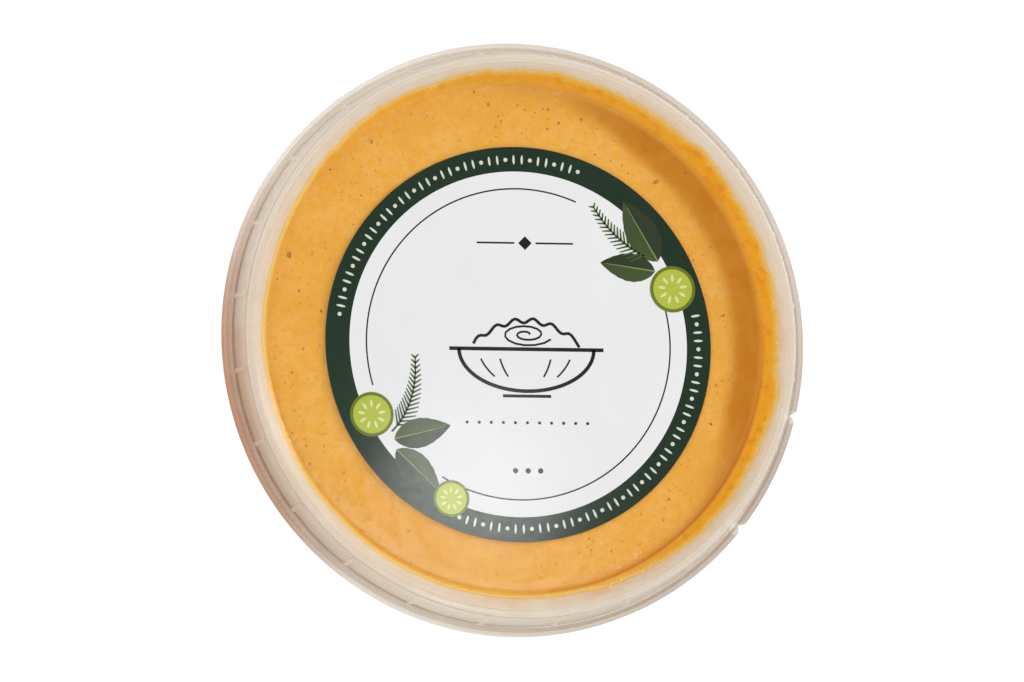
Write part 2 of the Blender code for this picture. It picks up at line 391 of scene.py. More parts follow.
def dip_material():
    n = Nodes("dip")
    cloud = n.ramp(n.noise(90, 5, 0.65), 0.36, 0.64)
    curd = n.ramp(n.noise(560, 5, 0.7, 0.5), 0.40, 0.64)
    colour = n.mix(n.math("MULTIPLY", cloud, 0.55), DIP_PALE, DIP_DEEP)
    colour = n.mix(n.math("MULTIPLY", curd, 0.60), colour, DIP_DEEP)
    streak = n.noise(1, 4, 0.65, 0.8, n.stretched((420, 1100, 600), 38))
    colour = n.mix(n.math("MULTIPLY", n.ramp(streak, 0.54, 0.70), 0.70), colour, DIP_YELLOW)
    patches = n.spots(330, 0.08, 0.44, 0.26)
    colour = n.mix(n.math("MULTIPLY", patches, 0.55), colour, DIP_YELLOW)
    grain = n.ramp(n.noise(1500, 3, 0.6), 0.58, 0.74)
    colour = n.mix(n.math("MULTIPLY", grain, 0.34), colour, DIP_FLECK)
    spots = n.spots(560, 0.05, 0.20, 0.14)
    colour = n.mix(n.math("MULTIPLY", spots, 0.55), colour, DIP_FLECK)
    uneven = n.ramp(n.noise(240, 4, 0.6), 0.36, 0.64, 0.84, 1.06)
    # Painted shadow of the lid's rim, deepening the key lamp's own shadow
    colour = n.mix(n.math("MULTIPLY", n.attribute("shade"), uneven), colour, DIP_SHADE)
    # Painted glow of light shining through the thin dip on the recess wall
    colour = n.mix(n.attribute("edge"), colour, DIP_EDGE_GLOW)
    blotch = n.math("MULTIPLY", n.ramp(n.noise(430, 4, 0.65), 0.50, 0.63), n.attribute("edge"))
    colour = n.mix(n.math("MULTIPLY", blotch, EDGE_BLOTCH), colour, DIP_BLOTCH)
    rise = n.math("ADD", n.attribute("rise"), crumble(n))
    colour = n.mix(n.ramp(rise, 0.1, 1.5, FAR_FRINGE, 0.0), colour, DIP_FRINGE)
    # Painted shade along the panel's corner
    colour = n.mix(n.attribute("corner_shade"), colour, DIP_CORNER_SHADE)
    skin = n.add("BsdfPrincipled", Roughness=0.42)
    n.put(skin.inputs["Base Color"], colour)
    n.put(skin.inputs["Subsurface Weight"], 0.35)
    n.put(skin.inputs["Subsurface Radius"], (1.0, 0.5, 0.2))
    n.put(skin.inputs["Subsurface Scale"], 0.0015)
    n.put(skin.inputs["Specular IOR Level"], 0.2)
    n.put(skin.inputs["Normal"], n.bump(n.noise(900, 4, 0.6), 0.00008, 0.5))
    return n.finish(skin.outputs["BSDF"])


def fleck_material(name, colour, other):
    n = Nodes(name)
    share = n.ramp(n.noise(1800, 3), 0.35, 0.65)
    skin = n.add("BsdfPrincipled", Roughness=0.55)
    n.put(skin.inputs["Base Color"], n.mix(share, screen(colour), screen(other)))
    n.put(skin.inputs["Subsurface Weight"], 0.15)
    n.put(skin.inputs["Subsurface Scale"], 0.0005)
    n.put(skin.inputs["Normal"], n.bump(n.noise(5000, 2), 0.00005, 0.6))
    return n.finish(skin.outputs["BSDF"])


def plastic_material(name, body, dark, tint, gloss, roughness, touched=False):
    """Thin milky plastic: what is behind it shows by the share that the milk attribute leaves. A
    touched one is clear over the dip, with a smear of dip along the edge of it."""
    n = Nodes(name)
    flow = n.noise(1, 3, 0.5, 0.3, n.stretched((60, 60, 400)))
    haze = n.noise(180, 4, 0.6)
    milk = n.attribute("milk")
    milk = n.math("MULTIPLY", milk, n.ramp(flow, 0.30, 0.70, 0.95, 1.05))
    milk = n.math("MULTIPLY", milk, n.ramp(haze, 0.30, 0.70, 0.94, 1.06))
    # Painted shade from the shade attribute: in gaps, under rims, along the near rim's outer rounding, and on the side
    # no direct light reaches
    colour = n.mix(n.attribute("shade"), screen(body), screen(dark))
    # Painted warm shade where light reaches the plastic through the dip
    colour = n.mix(n.attribute("smear_and_warm_shade"), colour, WARM_SHADE_TINT)
    if touched:
        over = n.math("ADD", n.attribute("over"), crumble(n))
        milk = n.math("MULTIPLY", milk, n.ramp(over, CLEAR_END, MILKY_START, MILK_TOUCHED, 1.0))
        smear_and_warm_shade = n.ramp(over, STAIN_START, STAIN_END, 1.0, 0.0)
        smear = n.math("MULTIPLY", n.ramp(over, CLEAR_END, SMEAR_FULL, 0.0, SMEAR), smear_and_warm_shade)
        milk = n.math("MAXIMUM", milk, smear)
        warm = n.math("MULTIPLY", n.ramp(over, STAIN_START, WARM_END, 1.0, 0.0), n.attribute("warm"))
        blotch = n.ramp(n.noise(150, 3, 0.6), 0.36, 0.64, 0.45, 1.55)
        colour = n.mix(n.math("MULTIPLY", warm, blotch), colour, DIP_WARM)
        colour = n.mix(smear_and_warm_shade, colour, DIP_STAIN)
    front = n.add("BsdfDiffuse", Color=colour)
    through = n.add("BsdfTranslucent", Color=colour)
    scatter = n.add("MixShader")
    n.put(scatter.inputs[0], THROUGH_SHARE)
    n.put(scatter.inputs[1], front.outputs[0])
    n.put(scatter.inputs[2], through.outputs[0])
    clear = n.add("BsdfTransparent", Color=screen(tint))
    wall = n.add("MixShader")
    n.put(wall.inputs[0], milk)
    n.put(wall.inputs[1], clear.outputs[0])
    n.put(wall.inputs[2], scatter.outputs[0])
    facing = n.add("LayerWeight", Blend=0.5).outputs["Facing"]
    shine = n.math("POWER", facing, 4.0)
    shine = n.math("MULTIPLY_ADD", shine, gloss)
    shine.node.inputs[2].default_value = 0.010
    ripple = n.bump(n.noise(140, 3), 0.0003, 0.25)
    surface = n.add("BsdfGlossy", Roughness=roughness, Normal=ripple)
    surface.inputs["Color"].default_value = (1, 1, 1, 1)
    coat = n.add("MixShader")
    n.put(coat.inputs[0], shine)
    n.put(coat.inputs[1], wall.outputs[0])
    n.put(coat.inputs[2], surface.outputs[0])
    return n.finish(coat.outputs[0])


def print_material(name, colour, other, share=0.5, shine=0.28):
    """Ink or paper under a thin gloss film, with a fine grain of the second colour."""
    n = Nodes(name)
    fine = n.ramp(n.noise(3600, 2, 0.5), 0.35, 0.65)
    broad = n.ramp(n.noise(75, 3, 0.5), 0.30, 0.70)
    both = n.math("MULTIPLY", n.math("ADD", fine, broad), share / 2)
    skin = n.add("BsdfPrincipled")
    n.put(skin.inputs["Base Color"], n.mix(both, screen(colour), screen(other)))
    n.put(skin.inputs["Roughness"], n.ramp(n.noise(700, 3), 0.3, 0.7, 0.075, 0.095))
    n.put(skin.inputs["Specular IOR Level"], shine)
    n.put(skin.inputs["Normal"], n.bump(n.noise(60, 2, 0.5), 0.0003, 0.03))
    return n.finish(skin.outputs["BSDF"])


# The dip

def eased(radius, height):
    """Rounds the dip's inner corner: lifts points near it a little way into the lid's plastic."""
    corner = panel_corner(LID_THICK - REACH)
    steep = corner[1] + (radius - corner[0]) * RECESS_DEPTH / (RIM_INNER_RADIUS - PANEL_RADIUS)
    near = max(CORNER_EASE - abs(steep - corner[1]), 0) / CORNER_EASE
    return radius, height + near * near * CORNER_EASE / 4


def dip_top_radii():
    corner = panel_corner(LID_THICK - REACH)[0]
    coarse = [0.008, 0.018, 0.028, 0.036]
    count = round((corner - FINE_TOP_RADIUS) / FINE_TOP_STEP)
    return coarse + [FINE_TOP_RADIUS + (corner - FINE_TOP_RADIUS) * i / count for i in range(count)]


def dip_section(angle, top_radii):
    """The dip's outline at one angle, from the middle of its top to the middle of its bottom."""
    depth = LID_THICK - REACH
    corner = panel_corner(depth)
    crest = recess_point(edge_radius(angle), depth)
    wall_z = max(crest[1] - SHOULDER_DROP, corner[1] - SHOULDER_DROP / 2)
    wall = (tub_inner_radius(wall_z) + REACH, wall_z)
    shoulder = (crest[0] + (wall[0] - crest[0]) * SHOULDER_SHARE,
                crest[1] + (wall_z - crest[1]) * SHOULDER_SHARE + SHOULDER_BULGE)
    floor_z = FLOOR_THICK - REACH
    rounding = FOOT_CORNER - floor_z
    foot_wall = tub_inner_radius(floor_z + rounding) + REACH
    foot = arc((foot_wall - rounding, floor_z + rounding), rounding, 0, -90, 8)
    return [
        (0, corner[1]),
        *(eased(radius, corner[1]) for radius in top_radii),
        eased(*corner),
        *(eased(*point) for point in between(corner, crest, 9)),
        crest,
        *between(crest, shoulder, 2),
        shoulder,
        *between(shoulder, wall, 3),
        wall,
        *between(wall, foot[0], 4),
        *foot,
        (0.030, floor_z),
        (0, floor_z),
    ]


def dented(points, count, size, stretch, depth, where):
    """Presses seeded smooth pits into the points, each a little longer than wide."""
    for _ in range(count):
        angle = rng.uniform(0, math.tau)
        radius = math.sqrt(rng.uniform(where[0] ** 2, where[1] ** 2))
        middle = np.array([radius * math.cos(angle), radius * math.sin(angle)])
        turn = rng.uniform(0, math.pi)
        long_axis = np.array([math.cos(turn), math.sin(turn)])
        half = rng.uniform(*size)
        grown = rng.uniform(*stretch)
        deep = rng.uniform(*depth)
        offset = points[:, :2] - middle
        near = np.abs(offset).max(1) < half * grown
        along = offset[near] @ long_axis / (half * grown)
        across = (offset[near] @ np.array([-long_axis[1], long_axis[0]])) / half
        share = np.clip(1 - along ** 2 - across ** 2, 0, 1)
        points[near, 2] -= deep * share * share
    return points


def make_dip():
    radii = dip_top_radii()
    angles = np.arange(DIP_STEPS) * math.tau / DIP_STEPS
    sections = [dip_section(angle, radii) for angle in angles]
    points, faces = ring_mesh(sections, angles)
    upper = points[:, 2] > PANEL_Z - LID_THICK
    pressed = points[upper]
    pressed = dented(pressed, 300, (0.00025, 0.0006), (1, 1.8), (0.00003, 0.00010), (0.040, 0.0508))
    pressed = dented(pressed, 40, (0.0006, 0.0012), (2, 5), (0.00003, 0.00007), (0.040, 0.0508))
    points[upper] = pressed
    obj = mesh_object("dip_fill", points, faces, [dip_material()], sharp_deg=60)
    radius = np.hypot(points[:, 0], points[:, 1])
    lips = np.array([edge_radius(angle) for angle in angles])
    lip = np.append(np.repeat(lips, len(sections[0]) - 2), [1, 1])
    high = np.clip((lip - EDGE_LOW_RADIUS) / (EDGE_HIGH_RADIUS - EDGE_LOW_RADIUS), 0, 1)
    turn = np.arctan2(points[:, 1], points[:, 0])
    # Painted glow: the dip on the recess wall takes the brighter, more saturated edge colour, standing in for light
    # shining through the thin dip there; less of it on the low side and on the side at EDGE_PALE_SIDE
    on_wall = np.clip((radius - WALL_TONE_START) / WALL_TONE_WIDTH, 0, 1)
    edge = on_wall * (points[:, 2] > 0.025)
    edge *= 1 - EDGE_PALE * np.clip(np.cos(turn - EDGE_PALE_SIDE), 0, 1) ** 2
    rise = np.clip((lip - radius) / FRINGE_WIDTH, -1, 3)
    set_attribute(obj, "rise", np.where(points[:, 2] > 0.029, rise, 3.0))
    # Painted shade along the panel's corner, with a wider tail of painted shadow just inside it, strongest on one side
    corner_shade = np.clip(1 - np.abs(radius - CORNER_SHADE_RADIUS) / CORNER_SHADE_WIDTH, 0, 1) * upper
    inward = np.clip(1 - (CORNER_SHADE_RADIUS - radius) / CORNER_SHADOW_TAIL_WIDTH, 0, 1) * (radius < CORNER_SHADE_RADIUS)
    corner_shade = np.maximum(corner_shade, CORNER_SHADOW_TAIL * inward * inward * upper)
    corner_shade *= np.clip((np.cos(turn - CORNER_SHADE_SIDE) - CORNER_SHADE_END) / CORNER_SHADE_FADE, CORNER_SHADE_LEAST, 1)
    set_attribute(obj, "corner_shade", CORNER_SHADE_SHARE * corner_shade)
    # Painted shadow of the lid's rim on the dip's top, on the side the key lamp comes from, deepening the lamp's own
    # shadow; towards the corner it turns into the edge colour
    facing = np.clip((np.cos(turn - SHADE_ANGLE) - 0.45) / 0.35, 0, 1)
    inner = SHADE_RADIUS + 0.004 * (1 - facing)
    shade = np.clip((radius - inner) / 0.0035, 0, 1) * facing * upper
    shade = shade * shade * (3 - 2 * shade)
    outward = np.clip((radius - SHADE_END) / SHADE_END_WIDTH, 0, 1)
    outward = outward * outward * (3 - 2 * outward)
    set_attribute(obj, "shade", shade * (1 - outward))
    edge *= LOW_EDGE_COLOUR + (1 - LOW_EDGE_COLOUR) * high
    set_attribute(obj, "edge", np.maximum(edge, SHADE_TO_EDGE * shade * outward))
    return piece(obj, "dip", "dip")


def dip_top_height(radius):
    return PANEL_Z - LID_THICK + REACH


def wall_height(radius):
    """The level of a crumb at this radius, just under the recess wall's face."""
    corner = recess_point(PANEL_RADIUS, CRUMB_DEPTH)
    return corner[1] + (radius - corner[0]) * RECESS_DEPTH / (RIM_INNER_RADIUS - PANEL_RADIUS)


def scattered(name, count, sizes, flatness, material, reach, height, turns=(0, math.tau)):
    """Small irregular flakes between the two radii of reach and the two angles of turns, all in one
    mesh. Height gives the level at a radius."""
    points, faces = [], []
    for _ in range(count):
        angle = rng.uniform(*turns)
        radius = math.sqrt(rng.uniform(reach[0] ** 2, reach[1] ** 2))
        half = rng.uniform(*sizes) * (1 if rng.random() < 0.75 else 1.5) / 2
        corners = rng.integers(6, 10)
        turn = rng.uniform(0, math.tau)
        long = rng.uniform(1.0, 1.9)
        base = len(points)
        middle = (radius * math.cos(angle), radius * math.sin(angle), height(radius))
        for step in range(corners):
            out = half * rng.uniform(0.65, 1.1)
            way = turn + step * math.tau / corners
            x, y = out * math.cos(way) * long, out * math.sin(way)
            points.append((middle[0] + x * math.cos(turn) - y * math.sin(turn),
                           middle[1] + x * math.sin(turn) + y * math.cos(turn), middle[2]))
        points.append((middle[0], middle[1], middle[2] + half * flatness))
        points.append((middle[0], middle[1], middle[2] - half * flatness - FLAKE_FOOT))
        for step in range(corners):
            after = base + (step + 1) % corners
            faces.append((base + step, after, base + corners))
            faces.append((after, base + step, base + corners + 1))
    obj = mesh_object(name, points, faces, [material], sharp_deg=80)
    return piece(obj, "dip")


FLAKE_FOOT = 0.00005
CRUMB_DEPTH = 0.00004
FLECK_RING = (0.0402, 0.0512)
CRUMB_RING = (0.0528, 0.0541)
CRUMB_TURNS = (math.radians(276), math.radians(301))


def make_flecks():
    red = fleck_material("spice", (184, 84, 6), (206, 106, 14))
    orange = fleck_material("spice_pale", (214, 132, 34), (230, 150, 46))
    grey = fleck_material("herb", (208, 130, 58), (194, 112, 44))
    crumb = fleck_material("crumb", (255, 214, 120), (250, 198, 96))
    return [
        scattered("spice_dark", 60, (0.00018, 0.00036), 0.25, red, FLECK_RING, dip_top_height),
        scattered("spice_pale", 300, (0.00018, 0.00036), 0.22, orange, FLECK_RING, dip_top_height),
        scattered("herb_flecks", 14, (0.0004, 0.0008), 0.12, grey, FLECK_RING, dip_top_height),
        scattered("dip_crumbs", 11, (0.0003, 0.0008), 0.35, crumb, CRUMB_RING, wall_height, CRUMB_TURNS),
    ]


# The lid

def lid_angles():
    """Even turns, with the edges of the ribs put in."""
    turns = list(np.arange(TURN_STEPS) * math.tau / TURN_STEPS)
    for index in range(RIB_COUNT):
        middle = RIB_FIRST_ANGLE + index * math.tau / RIB_COUNT
        for side in (-1, 1):
            for offset in (RIB_WIDTH / 2, RIB_WIDTH / 2 - RIB_EDGE):
                turns.append((middle + side * offset / SKIRT_RADIUS) % math.tau)
    return np.array(sorted(turns))


def on_rib(angle):
    step = math.tau / RIB_COUNT
    offset = (angle - RIB_FIRST_ANGLE + step / 2) % step - step / 2
    return abs(offset) * SKIRT_RADIUS < RIB_WIDTH / 2 - RIB_EDGE / 2


def near_share(angle):
    """1 on the side towards the camera, where the gap round the lid shows dark, and 0 opposite."""
    return min(max(0.5 + 0.8 * math.cos(angle - VIEW_SIDE), 0), 1)


def unlit_share(angle):
    """1 in the middle of the side that no direct light reaches, where painted shade makes the plastic browner."""
    return min(max((math.cos(angle - UNLIT_SIDE) - 0.72) / 0.28, 0), 1)


def warm_shade_share(angle):
    """1 in the middle of the side where a painted warm shade stands in for light reaching the plastic through the dip,
    and 0 away from it.
    """
    return min(max((math.cos(angle - WARM_SHADE_SIDE) - 0.70) / 0.28, 0), 1)


def skirt_point(height, out=0.0):
    slope = (SKIRT_RADIUS - RIM_OUTER_RADIUS) / SKIRT_DROP
    return RIM_OUTER_RADIUS + (HEIGHT - height) * slope + out, height


# The side no direct light reaches, where painted shade browns the plastic
UNLIT_SIDE = math.radians(205)
# The side where a painted warm shade stands in for light reaching the plastic through the dip
WARM_SHADE_SIDE = math.radians(190)
MILK_PANEL = 0.6
MILK_WALL = 0.70
MILK_RIM = 0.50
MILK_SKIRT = 0.54
MILK_RIB = 0.60
MILK_EDGE = 0.62
SHADE_EDGE = 0.6
SKIRT_UNLIT_SHADE = 0.37
SKIRT_WARM_SHADE = 0.22
GAP_MILK = 0.80
GAP_SHADE = 0.75
GAP_DEPTH = 0.0003
COLLAR_MILK = 0.36
COLLAR_CLEARER = 0.16
COLLAR_UNLIT_SHADE = 0.30
COLLAR_WARM_SHADE = 0.58
COLLAR_SHADE = 0.45
COLLAR_LIT = 0.60
LIT_SIDE = math.radians(305)
# Painted light on the collar, lifting part of it out of the lid's cast shadow
COLLAR_PAINTED_LIGHT = 0.50
PAINTED_LIGHT_SIDE = math.radians(140)


def past_edge(radius, edge):
    """How far this radius is past the edge of the dip, in local fringe widths."""
    high = min(max((edge - EDGE_LOW_RADIUS) / (EDGE_HIGH_RADIUS - EDGE_LOW_RADIUS), 0), 1)
    width = NEAR_SMEAR_WIDTH + (FAR_SMEAR_WIDTH - NEAR_SMEAR_WIDTH) * high
    return min(max((radius - edge) / width, -3), 8)


def lid_section(angle):
    """The lid's outline at one angle, each point with its milkiness, its shade and its place past the dip's
    edge: -3 well over the dip, 8 well off it."""
    rib = RIB_PROUD if on_rib(angle) else 0.0
    unlit_shade = SKIRT_UNLIT_SHADE * unlit_share(angle)
    gap = 0.0 if rib else GAP_SHADE * near_share(angle)
    edge = edge_radius(angle)
    inner_top = HEIGHT - LID_THICK
    end_z = COLLAR_TOP_Z - SKIRT_TAIL
    inner_skirt = SKIRT_RADIUS - LID_THICK
    found = [((radius, PANEL_Z), MILK_PANEL, 0.0, -3) for radius in (0, 0.015, 0.03, 0.042, 0.048, 0.0508)]
    corner = panel_corner(0)
    found += [((0.0513, PANEL_Z + 0.00002), MILK_PANEL, 0.0, -3)]
    found += [((corner[0] + 0.0001, PANEL_Z + 0.00014), MILK_PANEL, 0.0, -2)]
    wall_top = (RIM_INNER_RADIUS - RIM_ROUNDING, HEIGHT - RIM_ROUNDING)
    for radius, height in between((corner[0] + 0.0001, PANEL_Z + 0.00014), wall_top, 26):
        found.append(((radius, height), MILK_WALL, 0.0, past_edge(radius, edge)))
    for point in arc((RIM_INNER_RADIUS + 0.0001, HEIGHT - 0.0004), 0.0004, 150, 90, 4):
        found.append((point, MILK_RIM, 0.0))
    found.append(((0.0564, HEIGHT), MILK_RIM, 0.0))
    outer_arc = arc((RIM_OUTER_RADIUS - 0.0003, HEIGHT - 0.0003), 0.0003, 90, 8, 4)
    for point, shade in zip(outer_arc, (0.0, 0.0, 0.3, SHADE_EDGE, SHADE_EDGE)):
        found.append((point, MILK_EDGE, shade * near_share(angle)))
    milk = MILK_RIB if rib else MILK_SKIRT
    found.append((skirt_point(HEIGHT - 0.00042), MILK_SKIRT, unlit_shade))
    found.append((skirt_point(RIB_HIGH_Z), MILK_SKIRT, unlit_shade))
    found.append((skirt_point(RIB_HIGH_Z - RIB_EDGE, rib), MILK_SKIRT, unlit_shade))
    for share in (0.25, 0.5, 0.75):
        height = RIB_HIGH_Z + (RIB_LOW_Z - RIB_HIGH_Z) * share
        found.append((skirt_point(height, rib), MILK_SKIRT + (milk - MILK_SKIRT) * share, unlit_shade))
    found.append((skirt_point(RIB_LOW_Z + RIB_EDGE, rib), milk, unlit_shade / 2 if rib else unlit_shade))
    found.append((skirt_point(RIB_LOW_Z), milk, unlit_shade / 2 if rib else unlit_shade))
    found.append(((SKIRT_RADIUS, COLLAR_TOP_Z), 0.5, gap))
    found.append(((SKIRT_RADIUS, end_z), 0.5, gap))
    found.append(((inner_skirt, end_z), 0.5, gap / 2))
    found.append(((inner_skirt, COLLAR_TOP_Z), MILK_SKIRT, 0.3))
    slope = (SKIRT_RADIUS - RIM_OUTER_RADIUS) / SKIRT_DROP
    found.append(((RIM_OUTER_RADIUS - LID_THICK + slope * LID_THICK, inner_top), MILK_RIM, 0.2))
    inner_rim = (recess_point(RIM_INNER_RADIUS, LID_THICK)[0] - 0.00022, inner_top)
    found.append((inner_rim, MILK_RIM, 0.0))
    low = panel_corner(LID_THICK)
    for radius, height in between(inner_rim, low, 20):
        found.append(((radius, height), MILK_WALL, 0.0, past_edge(radius, edge)))
    found.append((low, MILK_PANEL, 0.0, -2))
    found.append(((0.040, PANEL_Z - LID_THICK), MILK_PANEL, 0.0, -3))
    found.append(((0, PANEL_Z - LID_THICK), MILK_PANEL, 0.0, -3))
    return [row if len(row) == 4 else (*row, 8) for row in found]


def per_point(sections, index):
    """The values of one kind in the order of ring_mesh's points."""
    inner = [[row[index] for row in section[1:-1]] for section in sections]
    flat = [value for row in inner for value in row]
    return flat + [sections[0][0][index], sections[0][-1][index]]


def make_lid():
    angles = lid_angles()
    sections = [lid_section(angle) for angle in angles]
    points, faces = ring_mesh([[row[0] for row in section] for section in sections], angles)
    material = plastic_material("lid_plastic", (253, 248, 237), (166, 133, 106), (251, 249, 246),
                                0.5, 0.09, True)
    obj = mesh_object("lid_shell", points, faces, [material], sharp_deg=50)
    set_attribute(obj, "milk", per_point(sections, 1))
    set_attribute(obj, "shade", per_point(sections, 2))
    set_attribute(obj, "over", per_point(sections, 3))
    turn = np.arctan2(points[:, 1], points[:, 0])
    # Painted warm shade on the skirt, on the side where light reaches it through the dip
    skirt = np.hypot(points[:, 0], points[:, 1]) > RIM_OUTER_RADIUS
    set_attribute(obj, "smear_and_warm_shade", SKIRT_WARM_SHADE * skirt * np.vectorize(warm_shade_share)(turn))
    warm = WARM_SHARE + WARM_MORE * np.clip(np.cos(turn - WARM_MORE_SIDE), 0, 1) ** 2
    warm -= WARM_LESS * np.clip(np.cos(turn - WARM_LESS_SIDE), 0, 1) ** 2
    set_attribute(obj, "warm", warm)
    return piece(obj, "lid_plastic", "lid")


# The tub

def tub_section(outer, angle):
    """The tub's outline at one angle, each point with its milkiness, its painted shade and its painted
    warm shade. Outer is the collar's radius."""
    # Painted shade on the collar's top, more on the side no direct light reaches and on a lit side, less where painted
    # light lifts it out of the lid's cast shadow; a painted warm shade where light reaches it through the dip
    unlit_shade = COLLAR_UNLIT_SHADE * unlit_share(angle)
    lit = COLLAR_LIT * max(math.cos(angle - LIT_SIDE), 0) ** 2
    painted_light = COLLAR_PAINTED_LIGHT * max(math.cos(angle - PAINTED_LIGHT_SIDE), 0) ** 2
    top = max(COLLAR_SHADE + unlit_shade + lit - painted_light, 0)
    smear_and_warm_shade = COLLAR_WARM_SHADE * warm_shade_share(angle)
    gap = 0.0 if on_rib(angle) else GAP_SHADE * near_share(angle)
    lip_z = HEIGHT - LID_THICK - LIP_DEPTH_UNDER_RIM
    web_z = COLLAR_TOP_Z - COLLAR_HEIGHT
    web_top = web_z + COLLAR_THICK
    lip_under = COLLAR_TOP_Z - COLLAR_THICK
    inner = outer - COLLAR_THICK
    lip_inner = outer - COLLAR_LIP_WIDTH
    inner_foot = tub_inner_radius(FOOT_CORNER) - (FOOT_CORNER - FLOOR_THICK)
    outer_foot = tub_inner_radius(FOOT_CORNER) + WALL_THICK - FOOT_CORNER
    lip_middle = LIP_INNER_RADIUS + WALL_THICK / 2
    half = GROOVE_WIDTH / 2
    wall_milk = 0.36
    collar_milk = COLLAR_MILK - COLLAR_CLEARER * near_share(angle)
    rows = [((0, FLOOR_THICK), wall_milk, 0.0), ((0.030, FLOOR_THICK), wall_milk, 0.0)]
    inner_arc = arc((inner_foot, FOOT_CORNER), FOOT_CORNER - FLOOR_THICK, -90, 0, 8)
    rows += [(point, wall_milk, 0.0) for point in inner_arc]
    rows += [(point, wall_milk, 0.0) for point in between(inner_arc[-1], (LIP_INNER_RADIUS, lip_z), 9)]
    rows.append(((LIP_INNER_RADIUS, lip_z), wall_milk, 0.0))
    for point in arc((lip_middle, lip_z), WALL_THICK / 2, 150, 30, 6):
        rows.append(((point[0], min(point[1] + 0.0001, lip_z + LIP_ROUNDING)), wall_milk, 0.0))
    rows.append(((LIP_INNER_RADIUS + WALL_THICK, lip_z), wall_milk, 0.0))
    rows.append(((tub_inner_radius(web_top) + WALL_THICK, web_top), wall_milk, 0.3))
    rows.append(((inner, web_top), collar_milk, 0.4))
    rows.append(((inner, lip_under), collar_milk, 0.2))
    gap_milk = collar_milk + (GAP_MILK - collar_milk) * gap
    rows.append(((lip_inner, lip_under), collar_milk, 0.0))
    rows.append(((lip_inner, COLLAR_TOP_Z - 0.0001 - GAP_DEPTH), collar_milk, 0.0))
    rows.append(((lip_inner, COLLAR_TOP_Z - 0.0001), gap_milk, gap))
    rows.append(((lip_inner + 0.0001, COLLAR_TOP_Z), collar_milk, top, smear_and_warm_shade))
    rows.append(((lip_inner + 0.0004, COLLAR_TOP_Z), collar_milk, top, smear_and_warm_shade))
    rows.append(((outer - 0.0005, COLLAR_TOP_Z), collar_milk, top, smear_and_warm_shade))
    for point in arc((outer - COLLAR_CHAMFER, COLLAR_TOP_Z - COLLAR_CHAMFER), COLLAR_CHAMFER, 90, 0, 3):
        rows.append((point, collar_milk + smear_and_warm_shade, 0.1 + top, smear_and_warm_shade))
    rows.append(((outer, (COLLAR_TOP_Z + web_z) / 2), collar_milk + smear_and_warm_shade, top + smear_and_warm_shade, smear_and_warm_shade))
    rows.append(((outer, web_z), collar_milk + smear_and_warm_shade, top + smear_and_warm_shade, smear_and_warm_shade))
    wall_low = (tub_inner_radius(web_z) + WALL_THICK, web_z)
    rows.append((wall_low, wall_milk, 0.3))
    outer_arc = arc((outer_foot, FOOT_CORNER), FOOT_CORNER, 0, -90, 8)
    rows += [(point, wall_milk, 0.0) for point in between(wall_low, outer_arc[0], 8)]
    rows += [(point, wall_milk, 0.0) for point in outer_arc]
    rows.append(((GROOVE_RADIUS + half, 0), wall_milk, 0.0))
    rows.append(((GROOVE_RADIUS + half - GROOVE_DEPTH, GROOVE_DEPTH), wall_milk, 0.2))
    rows.append(((GROOVE_RADIUS - half + GROOVE_DEPTH, GROOVE_DEPTH), wall_milk, 0.2))
    rows.append(((GROOVE_RADIUS - half, 0), wall_milk, 0.0))
    rows.append(((0, 0), wall_milk, 0.0))
    return [row if len(row) == 4 else (*row, 0.0) for row in rows]


def cut_notches(obj, outer):
    """Cuts the two V-shaped notches that end the tear tab."""
    cutters = []
    reach = NOTCH_CUTTER_SIDE / math.sqrt(2)
    for angle in NOTCH_ANGLES:
        shape = bmesh.new()
        bmesh.ops.create_cube(shape, size=1)
        mesh = bpy.data.meshes.new("notch_cutter")
        shape.to_mesh(mesh)
        shape.free()
        size = Matrix.Diagonal((NOTCH_CUTTER_SIDE, NOTCH_CUTTER_SIDE, COLLAR_HEIGHT * 1.6, 1))
        place = Matrix.Translation((outer - NOTCH_DEPTH + reach, 0, COLLAR_TOP_Z - COLLAR_HEIGHT / 2))
        corner_in = Matrix.Rotation(math.radians(45), 4, "Z")
        mesh.transform(Matrix.Rotation(angle, 4, "Z") @ place @ corner_in @ size)
        cutter = bpy.data.objects.new("notch_cutter", mesh)
        bpy.context.scene.collection.objects.link(cutter)
        cut = obj.modifiers.new("Notch", "BOOLEAN")
        cut.operation = "DIFFERENCE"
        cut.object = cutter
        cut.solver = "EXACT"
        cutters.append(cutter)
    bpy.context.view_layer.update()
    graph = bpy.context.evaluated_depsgraph_get()
    mesh = bpy.data.meshes.new_from_object(obj.evaluated_get(graph))
    obj.modifiers.clear()
    obj.data = mesh
    for cutter in cutters:
        bpy.data.objects.remove(cutter, do_unlink=True)


def make_tub():
    low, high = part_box("tub")
    outer = min(-low.x, -low.y, high.x, high.y)
    angles = lid_angles()
    sections = [tub_section(outer, angle) for angle in angles]
    points, faces = ring_mesh([[row[0] for row in section] for section in sections], angles)
    material = plastic_material("tub_plastic", (248, 245, 240), (150, 119, 94), (249, 246, 241),
                                0.15, 0.20)
    obj = mesh_object("tub_shell", points, faces, [material], sharp_deg=40)
    set_attribute(obj, "milk", per_point(sections, 1))
    set_attribute(obj, "shade", per_point(sections, 2))
    set_attribute(obj, "smear_and_warm_shade", per_point(sections, 3))
    cut_notches(obj, outer)
    return piece(obj, "tub_plastic", "tub")


# The label

PAPER, LINE, GREEN = 0, 1, 2
LINE_RADIUS = 0.0315
LINE_WIDTH = 0.00032
BAND_INNER_RADIUS = 0.0350
LINE_GAPS = ((22, 66), (196, 238))


